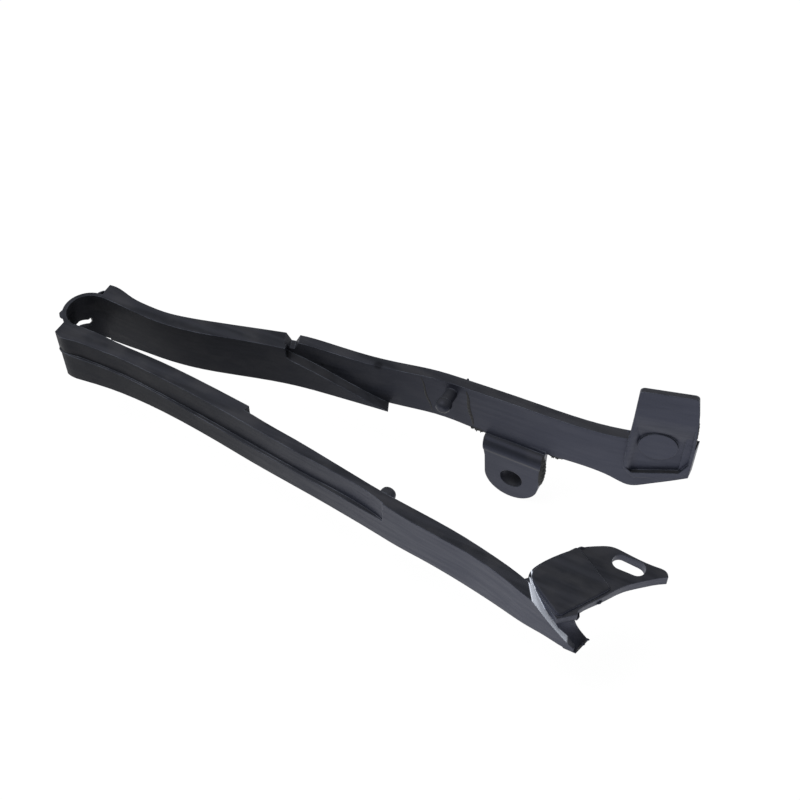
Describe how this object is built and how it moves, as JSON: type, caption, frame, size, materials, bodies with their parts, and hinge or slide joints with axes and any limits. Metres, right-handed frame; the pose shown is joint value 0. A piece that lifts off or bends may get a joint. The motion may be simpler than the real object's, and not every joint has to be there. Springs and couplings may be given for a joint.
{
  "type": "chain slider",
  "caption": "Moulded chain slider strap for a motorcycle swingarm: a U-shaped band that hugs the arm's nose, with pins, a bolt lug, a tab and a slotted flange",
  "frame": {"origin": "Centre of the round loop that hugs the swingarm's nose, halfway across the strap's width", "axes": "+X runs from the loop towards the open ends, midway between the two arms; +Y is towards the arm with the bolt lug; +Z is across the strap's width, along the swingarm pivot"},
  "size_m": [0.4305, 0.1507, 0.1361],
  "materials": {
    "moulding": "Satin black moulded thermoplastic elastomer, tough and slightly flexible, with faint flow marks along the strap"
  },
  "bodies": {
    "root": {"chain_slider": "moulding"}
  },
  "joints": []
}
